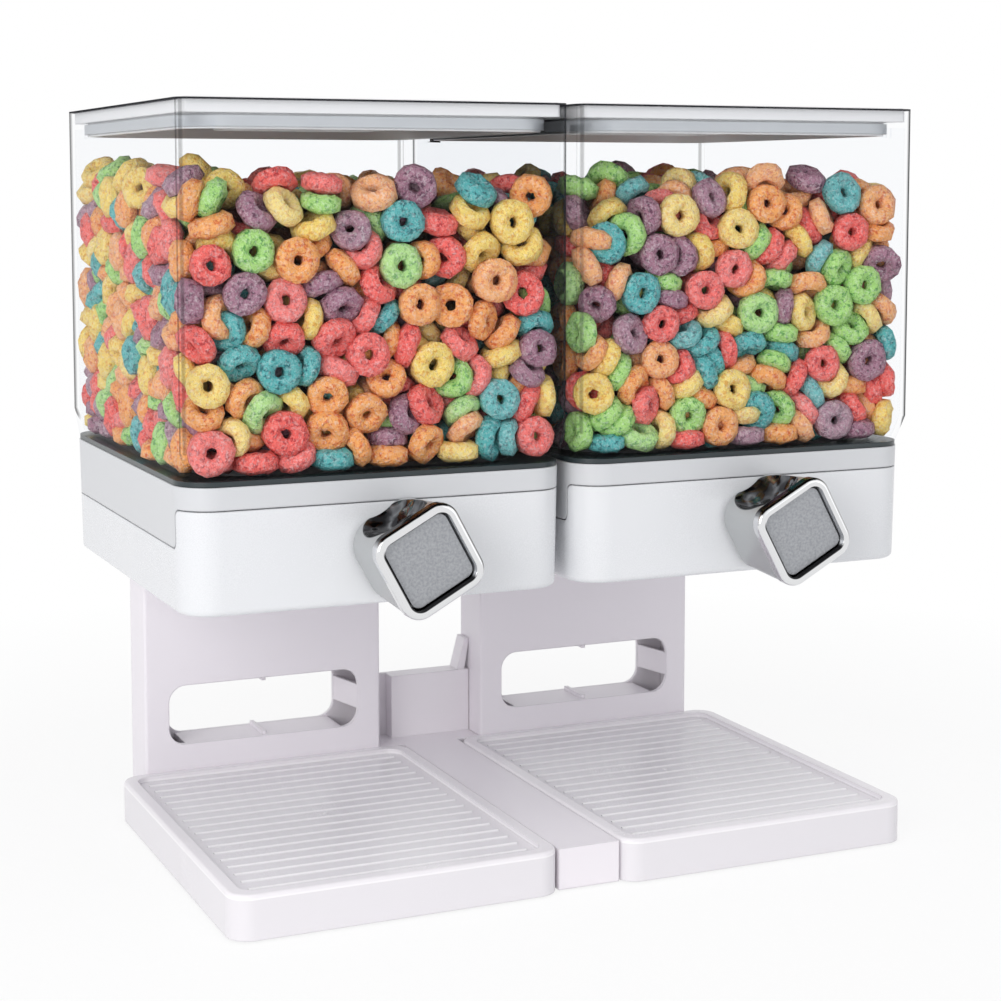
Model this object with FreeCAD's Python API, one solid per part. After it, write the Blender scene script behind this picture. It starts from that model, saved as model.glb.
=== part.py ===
import FreeCAD, Part
import math
import os

from FreeCAD import Vector

# Twin dry food dispenser: two clear canisters on dispensing heads, each head on its own stand
# with a serving tray, and one bridge that joins the two stands.
# Millimetres. +Z up, -Y is the side with the knobs, origin under the middle of the whole object.
# Each unit is drawn about its own centre line and then set left and right of the origin.

# Layout
unit_gap = 5.0
tray_top_to_head = 110.3
knob_reach = 36.0

# Dispensing head: housing below, collar above, with a stepped seam between them
head_depth = 200.0
head_height = 53.5
head_radius = 16.0
head_draft = 1.0
head_wall = 2.5
head_floor = 2.5
head_edge_round = 2.5
seam_front_drop = 9.5
seam_side_drop = 26.0
seam_step_inset = 10.5
seam_step_radius = 3.3
seam_gap = 0.5
lip_gap = 0.2
lip_wall = 1.5
lip_overlap = 4.0
ledge_width = 9.0
ledge_thickness = 2.5
throat_radius = 40.0
post_radius = 3.6
post_room = 12.2
post_clearance = 3.7
post_stub = 3.0

# Hopper, drum chamber and spout
axle_height = 23.3
axle_offset = 7.0
chamber_radius = 21.3
chamber_wall = 2.0
chamber_length = 62.0
chamber_centre_y = -30.0
chamber_plate = 3.0
hopper_wall = 2.0
hopper_rim = 5.0
hopper_rim_wall = 2.5
mouth_half = 17.0
mouth_radius = 2.0
outlet_half = 14.0
spout_wall = 2.5
spout_drop = 5.5
spout_flange = 3.5
spout_flange_thickness = 1.5
spout_clearance = 0.2

# Turning parts
shaft_radius = 4.0
running_gap = 0.05
shaft_flat = 1.0
shaft_tail = 4.5
bush_radius = 6.2
bush_flange_radius = 9.0
bush_flange = 1.0
front_boss_radius = 11.0
front_boss_length = 8.0
front_boss_proud = 0.7
seal_radius = 7.0
clip_groove_depth = 1.0
clip_thickness = 0.9
clip_radius = 7.0
clip_gap = 0.3
hub_radius = 7.5
sleeve_wall = 2.0
blade_count = 8
blade_root = 3.0
blade_tip = 1.6
blade_gap = 0.8
wheel_end_gap = 1.0
hub_inset = 1.0

# Knob
knob_side = 38.6
knob_front_radius = 8.0
knob_rear_radius = 12.0
knob_rear_taper = 0.6
knob_back_gap = 1.0
knob_rest_angle = 28.6
knob_pocket_wall = 7.5
knob_pocket_depth = 18.0
knob_boss_radius = 7.5
knob_front_wall = 2.5
scoop_radius = 24.0
scoop_depth = 6.0
bezel_height = 5.0
bezel_overhang = 0.5
bezel_round = 1.8
bezel_width = 4.6
bezel_slope = 1.0
bezel_inner_radius = 4.0
face_gap = 0.1
face_recess = 2.6

# Canister and its gasket
canister_height = 149.0
canister_wall = 2.5
canister_radius = 5.0
canister_blend = 12.0
canister_flange = 2.0
canister_rim = 7.0
rim_extra = 0.8
rim_wall = 2.0
rim_web = 2.5
mouth_corner = 20.0
spigot_wall = 2.2
spigot_gap = 0.3
spigot_depth = 6.0
gasket_thickness = 2.1
gasket_inset = 0.4
seat_gap = 0.2

# Lid
lid_cap = 6.4
cap_gap = 0.3
cap_proud = 0.5
lid_edge_round = 1.0
lid_gap = 0.2
lid_skin = 2.6
lid_wall = 2.6
plug_depth = 6.4
plug_gap = 1.8
lid_seal_gap = 0.3
lid_seal_height = 4.6
lid_seal_groove = 1.2
lid_seal_rise = 0.9
grip_length = 70.0
grip_width = 15.0
grip_depth = 8.0
grip_bar = 16.0
grip_radius = 7.0

# Stand: column, its back cover and its window
column_width = 122.0
column_depth = 26.0
column_wall = 2.5
column_edge_round = 1.5
column_back_inset = 6.7
column_insert = 30.0
cover_thickness = 2.2
cover_gap = 0.15
socket_gap = 0.4
socket_wall = 2.0
window_width = 98.0
window_height = 29.5
window_centre = 47.3
window_radius = 8.5
flange_thickness = 2.2
flange_slant = 5.0
rib_thickness = 1.6
web_depth = 12.0
web_spacing = 60.0
web_margin = 8.0
window_rib = 2.0

# Tray
tray_width = 148.0
tray_depth = 188.0
tray_height = 19.2
tray_radius = 10.0
tray_wall = 2.5
tray_floor = 2.4
tray_edge_round = 1.5
tray_rim = 6.0
tray_recess = 2.6
tray_rib_pitch = 10.0
tray_rib_height = 0.7
tray_rib_width = 2.0
tray_rib_crown = 0.8
tray_rib_margin = 5.0
gate_radius = 1.2
gate_height = 0.5
lattice_pitch = 30.0
lattice_lift = 0.6
foot_proud = 1.0
foot_radius = 6.0
foot_thickness = 3.0
foot_boss_wall = 2.0
foot_inset = 16.0

# Screws
screw_shank = 1.5
screw_head_radius = 3.0
screw_head = 2.0
screw_hole = 1.8
head_screw_length = 14.0
tray_screw_length = 12.0
tray_screw_x = 40.0
tray_screw_z = 11.0
tray_screw_boss = 4.0

# Bridge between the stands
bridge_gap = 0.3
bridge_front_inset = 4.5
bridge_top_drop = 0.9
bridge_wall = 2.5
bridge_block_inset = 15.0
bridge_block_depth = 11.0
bridge_block_top = 52.0
bridge_groove_width = 11.7
bridge_groove_depth = 8.0
tongue_inset = 10.0
tongue_depth = 6.0
tongue_bottom = 6.0
tongue_height = 8.0
tongue_reach = 5.5
tab_foot_x = 20.6
tab_foot_width = 4.4
tab_tip_width = 2.3
tab_rise = 16.5
tab_depth = 10.0
tab_gap = 0.1

# Levels and places that follow from the sizes above
post_inset = post_room + post_radius
head_shoulder = socket_gap + socket_wall + post_clearance + post_radius + post_inset
head_width = column_width + 2 * head_shoulder
unit_pitch = head_width + unit_gap
column_face_y = head_depth / 2 - column_back_inset - column_depth
tray_top = foot_proud + tray_height
head_bottom = tray_top + tray_top_to_head
head_top = head_bottom + head_height
seam_front = head_top - seam_front_drop
seam_side = head_top - seam_side_drop
seam_step_y = seam_step_inset - head_depth / 2
ledge_bottom = head_top - ledge_thickness
hopper_top = ledge_bottom
axle_z = head_bottom + axle_height
gasket_bottom = head_top + seat_gap
canister_bottom = gasket_bottom + gasket_thickness
canister_top = canister_bottom + canister_height
lid_bottom = canister_top + lid_gap
lid_top = lid_bottom + lid_cap
wall_top = lid_top - cap_proud
unit_y = knob_reach / 2
throat_width = head_width - 2 * ledge_width
throat_depth = head_depth - 2 * ledge_width
tray_centre_y = column_face_y - tray_depth / 2
column_top = head_bottom + column_insert
column_back_y = column_face_y + column_depth
chamber_front = -chamber_centre_y + chamber_length / 2
chamber_rear = -chamber_centre_y - chamber_length / 2
front_shrink = head_draft * (1 - axle_height / head_height)
wall_front = head_depth / 2 - front_shrink
knob_rear = wall_front + front_boss_proud + bush_flange + knob_back_gap
bezel_front = head_depth / 2 + knob_reach
bezel_rear = bezel_front - bezel_height
shaft_tip = bezel_rear - knob_front_wall
shaft_end = chamber_rear - chamber_plate - shaft_tail
reach = 500.0
X = Vector(1, 0, 0)
Y = Vector(0, 1, 0)
Z = Vector(0, 0, 1)
ORIGIN = Vector(0, 0, 0)


def outline(width, depth, radius, z, x=0.0, y=0.0):
    # Rounded rectangle as a closed wire of four lines and four quarter arcs.
    a = width / 2
    b = depth / 2
    edges = []
    corners = ((1, 1, 0), (-1, 1, 90), (-1, -1, 180), (1, -1, 270))
    starts = []
    ends = []
    for sx, sy, turn in corners:
        cx = x + sx * (a - radius)
        cy = y + sy * (b - radius)
        arc = []
        for step in (0, 45, 90):
            angle = math.radians(turn + step)
            arc.append(Vector(cx + radius * math.cos(angle), cy + radius * math.sin(angle), z))
        edges.append(Part.Arc(arc[0], arc[1], arc[2]).toShape())
        starts.append(arc[0])
        ends.append(arc[2])
    wire = []
    for i in range(4):
        wire.append(edges[i])
        wire.append(Part.makeLine(ends[i], starts[(i + 1) % 4]))
    return Part.Wire(wire)


def prism(width, depth, radius, z0, z1, x=0.0, y=0.0):
    return Part.Face(outline(width, depth, radius, z0, x, y)).extrude(Vector(0, 0, z1 - z0))


def loft(lower, upper):
    return Part.makeLoft([lower, upper], True, True)


def box(x0, x1, y0, y1, z0, z1):
    return Part.makeBox(x1 - x0, y1 - y0, z1 - z0, Vector(x0, y0, z0))


def rod(radius, z0, z1, x=0.0, y=0.0):
    return Part.makeCylinder(radius, z1 - z0, Vector(x, y, z0), Z)


def ring(outer, inner, z0, z1, x=0.0, y=0.0):
    return rod(outer, z0, z1, x, y).cut(rod(inner, z0, z1, x, y))


def extruded(points, direction):
    # Flat polygon through the points, swept along the direction.
    return Part.Face(Part.makePolygon(points + [points[0]])).extrude(direction)


def fused(first, others):
    return first.multiFuse(others).removeSplitter()


def edges_at(shape, z):
    # Edges of the shape that lie flat at height z.
    found = []
    for edge in shape.Edges:
        span = edge.BoundBox
        if abs(span.ZMin - z) < 1e-4 and abs(span.ZMax - z) < 1e-4:
            found.append(edge)
    return found


def upright_edges(shape, y):
    found = []
    for edge in shape.Edges:
        span = edge.BoundBox
        if span.ZLength > 1 and span.XLength < 1e-4 and abs(span.YMin - y) < 1e-4 and abs(span.YMax - y) < 1e-4:
            found.append(edge)
    return found


def face_forward(shape):
    # Pieces on the axle are drawn facing +Z, with local y up. This lays them along the axle.
    shape.rotate(ORIGIN, X, 90)
    shape.translate(Vector(axle_offset, 0, axle_z))
    return shape


def head_wire(z, inset):
    shrink = head_draft * (head_top - z) / head_height + inset
    return outline(head_width - 2 * shrink, head_depth - 2 * shrink, head_radius - shrink, z)


def head_block(z0, z1, inset):
    return loft(head_wire(z0, inset), head_wire(z1, inset))


def below_seam(shift_y, shift_z):
    # Everything under the stepped seam: high along the front, an S step, then low to the back.
    r = seam_step_radius
    s = r * math.sqrt(0.5)
    y = seam_step_y + shift_y
    high = seam_front + shift_z
    low = seam_side + shift_z
    at = [Vector(-reach, -reach, high), Vector(-reach, y, high), Vector(-reach, y + r, high - r),
          Vector(-reach, y + r, low + r), Vector(-reach, y + 2 * r, low), Vector(-reach, reach, low),
          Vector(-reach, reach, low - reach), Vector(-reach, -reach, low - reach)]
    upper = Part.Arc(at[1], Vector(-reach, y + s, high - r + s), at[2]).toShape()
    lower = Part.Arc(at[3], Vector(-reach, y + 2 * r - s, low + r - s), at[4]).toShape()
    edges = [Part.makeLine(at[0], at[1]), upper, Part.makeLine(at[2], at[3]), lower,
             Part.makeLine(at[4], at[5]), Part.makeLine(at[5], at[6]), Part.makeLine(at[6], at[7]),
             Part.makeLine(at[7], at[0])]
    return Part.Face(Part.Wire(edges)).extrude(Vector(2 * reach, 0, 0))


def post_places():
    px = head_width / 2 - post_inset
    py = head_depth / 2 - post_inset
    return [(sx * px, sy * py) for sx in (-1, 1) for sy in (-1, 1)]


def screw(length):
    # Pan head screw along +Z with a bevelled head, whose underside is at z = 0.
    head = Part.makeCylinder(screw_head_radius, screw_head, Vector(0, 0, -screw_head), Z)
    head = head.makeChamfer(screw_head / 3, edges_at(head, -screw_head))
    return fused(head, [rod(screw_shank, 0, length)])


def make_housing():
    shell = head_block(head_bottom, head_top, 0)
    shell = shell.makeFillet(head_edge_round, edges_at(shell, head_bottom))
    floor_top = head_bottom + head_floor
    shell = shell.cut(head_block(floor_top, head_top + head_wall, head_wall))
    shell = shell.common(below_seam(-seam_gap, -seam_gap))
    added = []
    # Socket at the back that the column's top stands in
    half = column_width / 2 + socket_gap
    front = column_face_y - socket_gap
    back = column_back_y + socket_gap
    top = column_top + seat_gap
    sill = floor_top - head_floor / 4
    outer = half + socket_wall
    added.append(box(-outer, outer, front - socket_wall, back + socket_wall, sill, top + socket_wall))
    added.append(box(-outer, outer, front - socket_wall, head_depth / 2, sill, seam_side - seam_gap).common(
        head_block(head_bottom, head_top, head_wall / 2)))
    for x, y in post_places():
        added.append(rod(post_radius, head_bottom, floor_top + post_stub, x, y))
    boss_front = wall_front + front_boss_proud
    added.append(face_forward(rod(front_boss_radius, boss_front - front_boss_length, boss_front)))
    shell = fused(shell, added)
    shell = shell.cut(box(-half, half, front, back, head_bottom - 1, top))
    shell = shell.cut(face_forward(rod(bush_radius, boss_front - 2 * front_boss_length, boss_front + 1)))
    hole_x = outlet_half + spout_wall + spout_clearance
    hole_y = chamber_length / 2 + spout_wall + spout_clearance
    shell = shell.cut(box(axle_offset - hole_x, axle_offset + hole_x, chamber_centre_y - hole_y,
                          chamber_centre_y + hole_y, head_bottom - 1, floor_top + 1))
    for x, y in post_places():
        shell = shell.cut(rod(screw_hole, head_bottom - 1, floor_top + post_stub + 1, x, y))
        shell = shell.cut(rod(screw_head_radius + socket_gap, head_bottom - 1, head_bottom + screw_head, x, y))
    return shell


def make_collar():
    inner = head_wall + lip_gap
    lip_bottom = seam_side - lip_overlap
    ring_body = head_block(lip_bottom, head_top, 0).cut(
        head_block(lip_bottom, head_top, inner + lip_wall))
    band = ring_body.cut(below_seam(0, 0))
    lip = head_block(lip_bottom, head_top, inner).cut(head_block(lip_bottom, head_top, inner + lip_wall))
    ledge = head_block(ledge_bottom, head_top, 0)
    posts = []
    for x, y in post_places():
        posts.append(rod(post_radius, head_bottom + head_floor + post_stub, ledge_bottom + 1, x, y))
    collar = fused(band, [lip, ledge] + posts)
    collar = collar.cut(prism(throat_width, throat_depth, throat_radius, ledge_bottom - 1, head_top + 1))
    # Slots in the lip, so that it drops in past the axle's boss and over the column's socket
    slot = front_boss_radius + lip_gap
    boss_front = wall_front + front_boss_proud
    relief = rod(slot, boss_front - front_boss_length - 1, boss_front + 1)
    relief = relief.fuse(box(-slot, slot, -head_height, 0, boss_front - front_boss_length - 1, boss_front + 1))
    relief = face_forward(relief).cut(head_block(seam_front, head_top, 0))
    collar = collar.cut(relief)
    half = column_width / 2 + socket_gap + socket_wall + lip_gap
    inner_back = head_depth / 2 - inner
    top = column_top + seat_gap + socket_wall + lip_gap
    collar = collar.cut(box(-half, half, inner_back - 2 * lip_wall - head_draft, inner_back + lip_gap / 2,
                            lip_bottom - 1, top))
    for x, y in post_places():
        collar = collar.cut(rod(screw_shank, head_bottom, head_bottom + head_floor + post_stub
                                + head_screw_length, x, y))
    return collar


def make_hopper():
    x = axle_offset
    y = chamber_centre_y
    slope_top = hopper_top - hopper_rim
    mouth_z = axle_z + math.sqrt(chamber_radius ** 2 - mouth_half ** 2)
    rim = hopper_rim_wall
    outer_ring = prism(throat_width + 2 * rim, throat_depth + 2 * rim, throat_radius + rim,
                       slope_top - hopper_wall, hopper_top)
    inner_ring = prism(throat_width, throat_depth, throat_radius, slope_top, hopper_top + 1)
    wide = 2 * mouth_half
    funnel = loft(outline(wide + 2 * hopper_wall, chamber_length + 2 * hopper_wall, mouth_radius + hopper_wall,
                          mouth_z - hopper_wall, x, y),
                  outline(throat_width + 2 * rim, throat_depth + 2 * rim, throat_radius + rim,
                          slope_top - hopper_wall))
    hollow = loft(outline(wide, chamber_length, mouth_radius, mouth_z, x, y),
                  outline(throat_width, throat_depth, throat_radius, slope_top))
    drum = face_forward(rod(chamber_radius + chamber_wall, chamber_rear - chamber_plate,
                            chamber_front + chamber_plate))
    neck_x = outlet_half + hopper_wall
    neck_y = chamber_length / 2 + hopper_wall
    neck = box(x - neck_x, x + neck_x, y - neck_y, y + neck_y, spout_level(), axle_z)
    body = fused(outer_ring, [funnel, drum, neck])
    body = body.cut(inner_ring.fuse(hollow))
    body = body.cut(face_forward(rod(chamber_radius, chamber_rear, chamber_front)))
    half_y = chamber_length / 2
    body = body.cut(box(x - mouth_half, x + mouth_half, y - half_y, y + half_y, axle_z, mouth_z + 0.01))
    body = body.cut(box(x - outlet_half, x + outlet_half, y - half_y, y + half_y, head_bottom - 1, axle_z))
    below = box(x - chamber_radius, x + chamber_radius, y - half_y - 2 * chamber_plate,
                y + half_y + 2 * chamber_plate, head_bottom - 1, spout_level())
    body = body.cut(below)
    body = body.cut(face_forward(rod(seal_radius, chamber_front - 1, chamber_front + chamber_plate + 1)))
    body = body.cut(face_forward(rod(bush_radius, chamber_rear - chamber_plate - 1, chamber_rear + 1)))
    return body


def spout_level():
    # Top of the spout's flange, where the drum chamber's underside is cut flat.
    return head_bottom + head_floor + spout_flange_thickness


def make_spout():
    x = axle_offset
    y = chamber_centre_y
    a = outlet_half + spout_wall
    b = chamber_length / 2 + spout_wall
    f = spout_flange
    floor_top = head_bottom + head_floor
    tube = box(x - a, x + a, y - b, y + b, head_bottom - spout_drop, floor_top)
    plate = box(x - a - f, x + a + f, y - b - f, y + b + f, floor_top, spout_level())
    body = fused(tube, [plate])
    inner_y = chamber_length / 2
    return body.cut(box(x - outlet_half, x + outlet_half, y - inner_y, y + inner_y,
                        head_bottom - spout_drop - 1, spout_level() + 1))


def make_front_bush():
    boss_front = wall_front + front_boss_proud
    body = fused(rod(bush_radius, boss_front - front_boss_length, boss_front),
                 [rod(bush_flange_radius, boss_front, boss_front + bush_flange)])
    return face_forward(body.cut(rod(shaft_radius + running_gap, 0, reach)))


def make_rear_bush():
    plate_back = chamber_rear - chamber_plate
    body = fused(rod(bush_radius, plate_back, chamber_rear),
                 [rod(bush_flange_radius, plate_back - bush_flange, plate_back)])
    return face_forward(body.cut(rod(shaft_radius + running_gap, shaft_end - 1, chamber_front)))


def make_shaft_seal():
    return face_forward(ring(seal_radius, shaft_radius + running_gap, chamber_front,
                             chamber_front + chamber_plate))


def make_head_screws():
    solids = []
    for x, y in post_places():
        piece = screw(head_screw_length)
        piece.translate(Vector(x, y, head_bottom + screw_head))
        solids.append(piece)
    return Part.makeCompound(solids)


def groove_front():
    return chamber_rear - chamber_plate - bush_flange - clip_gap


def make_shaft():
    body = rod(shaft_radius, shaft_end, shaft_tip)
    flat = box(-shaft_radius, shaft_radius, shaft_radius - shaft_flat, 2 * shaft_radius,
               knob_rear + knob_back_gap, shaft_tip + 1)
    top = groove_front()
    groove = ring(shaft_radius + 1, shaft_radius - clip_groove_depth, top - clip_thickness - clip_gap / 3, top)
    return turned(body.cut(flat).cut(groove))


def make_shaft_clip():
    top = groove_front() - clip_gap / 6
    inner = shaft_radius - clip_groove_depth + running_gap
    body = ring(clip_radius, inner, top - clip_thickness, top)
    return face_forward(body.cut(box(-inner, inner, 0, clip_radius + 1, top - clip_thickness - 1, top + 1)))


def make_wheel_hub():
    body = ring(hub_radius, shaft_radius, chamber_rear + wheel_end_gap + hub_inset,
                chamber_front - wheel_end_gap - hub_inset)
    return face_forward(body)


def make_paddle():
    low = chamber_rear + wheel_end_gap
    high = chamber_front - wheel_end_gap
    inner = hub_radius
    sleeve = ring(inner + sleeve_wall, inner, low, high)
    root = inner + sleeve_wall / 2
    tip = chamber_radius - blade_gap - blade_tip / 2
    blades = []
    for i in range(blade_count):
        blade = extruded([Vector(root, -blade_root / 2, low), Vector(tip, -blade_tip / 2, low),
                          Vector(tip, blade_tip / 2, low), Vector(root, blade_root / 2, low)],
                         Vector(0, 0, high - low))
        blade = fused(blade, [rod(blade_tip / 2, low, high, tip)])
        blade.rotate(ORIGIN, Z, 360.0 * (i + 0.5) / blade_count)
        blades.append(blade)
    return face_forward(fused(sleeve, blades))


def turned(shape):
    # The knob's pieces stand at the angle that the knob was left at.
    shape.rotate(ORIGIN, Z, knob_rest_angle)
    return face_forward(shape)


def make_knob():
    rear_side = knob_side - knob_rear_taper
    body = loft(outline(rear_side, rear_side, knob_rear_radius, knob_rear),
                outline(knob_side, knob_side, knob_front_radius, bezel_rear))
    lift = knob_side / 2 + scoop_radius - scoop_depth
    middle = (knob_rear + bezel_rear) / 2
    for side in (-1, 1):
        body = body.cut(Part.makeSphere(scoop_radius, Vector(0, side * lift, middle)))
    pocket_side = rear_side - 2 * knob_pocket_wall
    pocket_radius = knob_rear_radius - knob_pocket_wall
    pocket = prism(pocket_side, pocket_side, pocket_radius, knob_rear - 1, knob_rear + knob_pocket_depth)
    body = body.cut(pocket.cut(rod(knob_boss_radius, knob_rear - 2, knob_rear + knob_pocket_depth + 1)))
    bore = rod(shaft_radius, knob_rear - 1, shaft_tip)
    flat = box(-shaft_radius, shaft_radius, shaft_radius - shaft_flat, 2 * shaft_radius,
               knob_rear + knob_back_gap, shaft_tip + 1)
    return turned(body.cut(bore.cut(flat)))


def make_knob_bezel():
    side = knob_side + 2 * bezel_overhang
    body = prism(side, side, knob_front_radius + bezel_overhang, bezel_rear, bezel_front)
    body = body.makeFillet(bezel_round, edges_at(body, bezel_front))
    inner = side - 2 * bezel_width
    wide = inner + 2 * bezel_slope
    opening = loft(outline(inner, inner, bezel_inner_radius, bezel_rear),
                   outline(wide, wide, bezel_inner_radius + bezel_slope, bezel_front))
    return turned(body.cut(opening))


def make_knob_face():
    side = knob_side + 2 * bezel_overhang - 2 * bezel_width - 2 * face_gap
    return turned(prism(side, side, bezel_inner_radius - face_gap, bezel_rear, bezel_front - face_recess))


def make_canister():
    foot_top = canister_bottom + canister_flange
    blend_top = canister_bottom + canister_blend
    foot = loft(outline(head_width, head_depth, head_radius, canister_bottom),
                outline(head_width, head_depth, canister_radius, blend_top))
    walls = fused(foot, [prism(head_width, head_depth, canister_radius, blend_top, wall_top)])
    t = canister_wall
    low_radius = head_radius + (canister_radius - head_radius) * canister_flange / canister_blend
    foot = loft(outline(head_width - 2 * t, head_depth - 2 * t, low_radius - t, foot_top),
                outline(head_width - 2 * t, head_depth - 2 * t, canister_radius - t, blend_top))
    hollow = fused(foot, [prism(head_width - 2 * t, head_depth - 2 * t, canister_radius - t, blend_top,
                                wall_top)])
    g = spigot_gap
    w = spigot_wall
    # Ledge inside the mouth, which the lid's cap rests on between the walls
    rim_bottom = canister_top - canister_rim
    corners = hollow.common(box(-reach, reach, -reach, reach, rim_bottom, canister_top))
    mouth = mouth_outline(0)
    corners = corners.cut(prism(mouth[0], mouth[1], mouth[2], rim_bottom - 1, canister_top + 1))
    under = mouth_outline(-rim_wall)
    slab = box(-head_width, head_width, -head_depth, head_depth, rim_bottom - 1, canister_top - rim_web)
    corners = corners.cut(slab.cut(prism(under[0], under[1], under[2], rim_bottom - 1, canister_top)))
    spigot = prism(throat_width - 2 * g, throat_depth - 2 * g, throat_radius - g,
                   canister_bottom - spigot_depth, canister_bottom)
    bore = prism(throat_width - 2 * (g + w), throat_depth - 2 * (g + w), throat_radius - g - w,
                 canister_bottom - spigot_depth - 1, foot_top + 1)
    return fused(walls.cut(hollow), [corners, spigot]).cut(bore)


def make_canister_gasket():
    i = gasket_inset
    g = spigot_gap
    outer = prism(head_width - 2 * i, head_depth - 2 * i, head_radius - i, gasket_bottom, canister_bottom)
    return outer.cut(prism(throat_width - 2 * g, throat_depth - 2 * g, throat_radius - g,
                           gasket_bottom - 1, canister_bottom + 1))


def mouth_outline(inset):
    # Width, depth and corner radius of the canister's mouth, drawn in by the inset.
    shrink = canister_wall + rim_extra + inset
    return (head_width - 2 * shrink, head_depth - 2 * shrink, mouth_corner - inset)


def make_lid():
    shrink = canister_wall + cap_gap
    cap = prism(head_width - 2 * shrink, head_depth - 2 * shrink, canister_radius - shrink, lid_bottom, lid_top)
    cap = cap.makeFillet(lid_edge_round, edges_at(cap, lid_top))
    width, depth, radius = mouth_outline(plug_gap)
    plug_bottom = lid_bottom - plug_depth
    plug = prism(width, depth, radius, plug_bottom, lid_bottom)
    lid = fused(cap, [plug])
    # Hollow underside, with a well around the grip and four ribs
    width, depth, radius = mouth_outline(plug_gap + lid_wall)
    hollow = prism(width, depth, radius, plug_bottom - 1, lid_top - lid_skin)
    well_x = grip_length + 2 * lid_wall
    well_y = grip_bar + 2 * grip_width + 2 * lid_wall
    well = prism(well_x, well_y, grip_radius + lid_wall, lid_top - grip_depth - lid_skin, lid_top)
    t = rib_thickness / 2
    rib_x = (well_x + width) / 4
    rib_y = (well_y + depth) / 4
    kept = [well]
    for side in (-1, 1):
        kept.append(box(side * rib_x - t, side * rib_x + t, -depth, depth, lid_bottom, lid_top))
        kept.append(box(-width, width, side * rib_y - t, side * rib_y + t, lid_bottom, lid_top))
    lid = lid.cut(hollow.cut(kept[0].multiFuse(kept[1:])))
    offset = (grip_bar + grip_width) / 2
    for side in (-1, 1):
        lid = lid.cut(prism(grip_length, grip_width, grip_radius, lid_top - grip_depth, lid_top + 1,
                            0, side * offset))
    seal_z = plug_bottom + lid_seal_rise
    width, depth, radius = mouth_outline(plug_gap + lid_seal_groove)
    core = prism(width, depth, radius, seal_z, seal_z + lid_seal_height)
    band = prism(head_width, head_depth, canister_radius, seal_z, seal_z + lid_seal_height)
    return lid.cut(band.cut(core))


def make_lid_seal():
    seal_z = lid_bottom - plug_depth + lid_seal_rise
    inner = mouth_outline(plug_gap + lid_seal_groove)
    outer = mouth_outline(lid_seal_gap)
    band = prism(outer[0], outer[1], outer[2], seal_z, seal_z + lid_seal_height)
    return band.cut(prism(inner[0], inner[1], inner[2], seal_z - 1, seal_z + lid_seal_height + 1))


def window_prism(width, y0, y1):
    # The window's outline with round corners, swept from front to back.
    shape = prism(width, window_height, window_radius, -y1, -y0)
    shape.rotate(ORIGIN, X, 90)
    shape.translate(Vector(0, 0, window_centre))
    return shape


def make_column(inward):
    half = column_width / 2
    body = box(-half, half, column_face_y, column_back_y, foot_proud, column_top)
    body = body.makeFillet(column_edge_round, upright_edges(body, column_face_y))
    inner_y = column_face_y + column_wall
    body = body.cut(box(-half + column_wall, half - column_wall, inner_y, column_back_y + 1,
                        foot_proud + column_wall, column_top - column_wall))
    body = body.cut(window_prism(window_width, column_face_y - 1, inner_y + 1))
    flange_back = column_back_y - cover_thickness
    low = window_centre - window_height / 2
    high = window_centre + window_height / 2
    flat = window_width / 2 - window_radius
    t = flange_thickness
    added = [box(-flat, flat, column_face_y, flange_back, low - t, low),
             box(-flat, flat, column_face_y, flange_back, high, high + t)]
    rib = window_rib / 2
    added.append(box(-rib, rib, inner_y, flange_back, low, low + window_rib))
    added.append(box(-rib, rib, inner_y, flange_back, high - window_rib, high))
    end = window_width / 2
    upright = window_height - 2 * window_radius
    for side in (-1, 1):
        added.append(extruded([Vector(side * end, column_face_y, low + window_radius),
                               Vector(side * (end - flange_slant), flange_back, low + window_radius),
                               Vector(side * (end - flange_slant + t), flange_back, low + window_radius),
                               Vector(side * (end + t), column_face_y, low + window_radius)],
                              Vector(0, 0, upright)))
        web = side * web_spacing / 2
        added.append(box(web - rib_thickness / 2, web + rib_thickness / 2, column_face_y,
                         inner_y + web_depth, high + t + web_margin, column_top - column_wall - web_margin))
    body = fused(body, added)
    for side in (-1, 1):
        hole = Part.makeCylinder(screw_hole, 2 * column_wall, Vector(side * tray_screw_x,
                                 column_face_y - column_wall / 2, tray_screw_z), Y)
        body = body.cut(hole)
    # Slot in the inner side wall for the bridge's tongue
    g = bridge_gap
    slot_y = column_face_y + tongue_inset
    outer = inward * (half + 1)
    inner = inward * (half - column_wall - 1)
    return body.cut(box(min(outer, inner), max(outer, inner), slot_y - g, slot_y + tongue_depth + g,
                        tongue_bottom - g, tongue_bottom + tongue_height + g))


def make_column_cover():
    half = column_width / 2 - column_wall - cover_gap
    front = column_back_y - cover_thickness
    plate = box(-half, half, front, column_back_y, foot_proud + column_wall + cover_gap,
                column_top - column_wall - cover_gap)
    return plate.cut(window_prism(window_width - 2 * flange_slant, front - 1, column_back_y + 1))


def foot_places():
    px = tray_width / 2 - foot_inset
    py = tray_depth / 2 - foot_inset
    return [(sx * px, tray_centre_y + sy * py) for sx in (-1, 1) for sy in (-1, 1)]


def tray_rib(y, z):
    # One rib across the tray, with sloping sides and a flat crown.
    half = tray_width / 2 - tray_rim - tray_rib_margin
    wide = tray_rib_width / 2
    crown = tray_rib_crown / 2
    return extruded([Vector(-half, y - wide, z), Vector(-half, y + wide, z),
                     Vector(-half, y + crown, z + tray_rib_height), Vector(-half, y - crown, z + tray_rib_height)],
                    Vector(2 * half, 0, 0))


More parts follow.
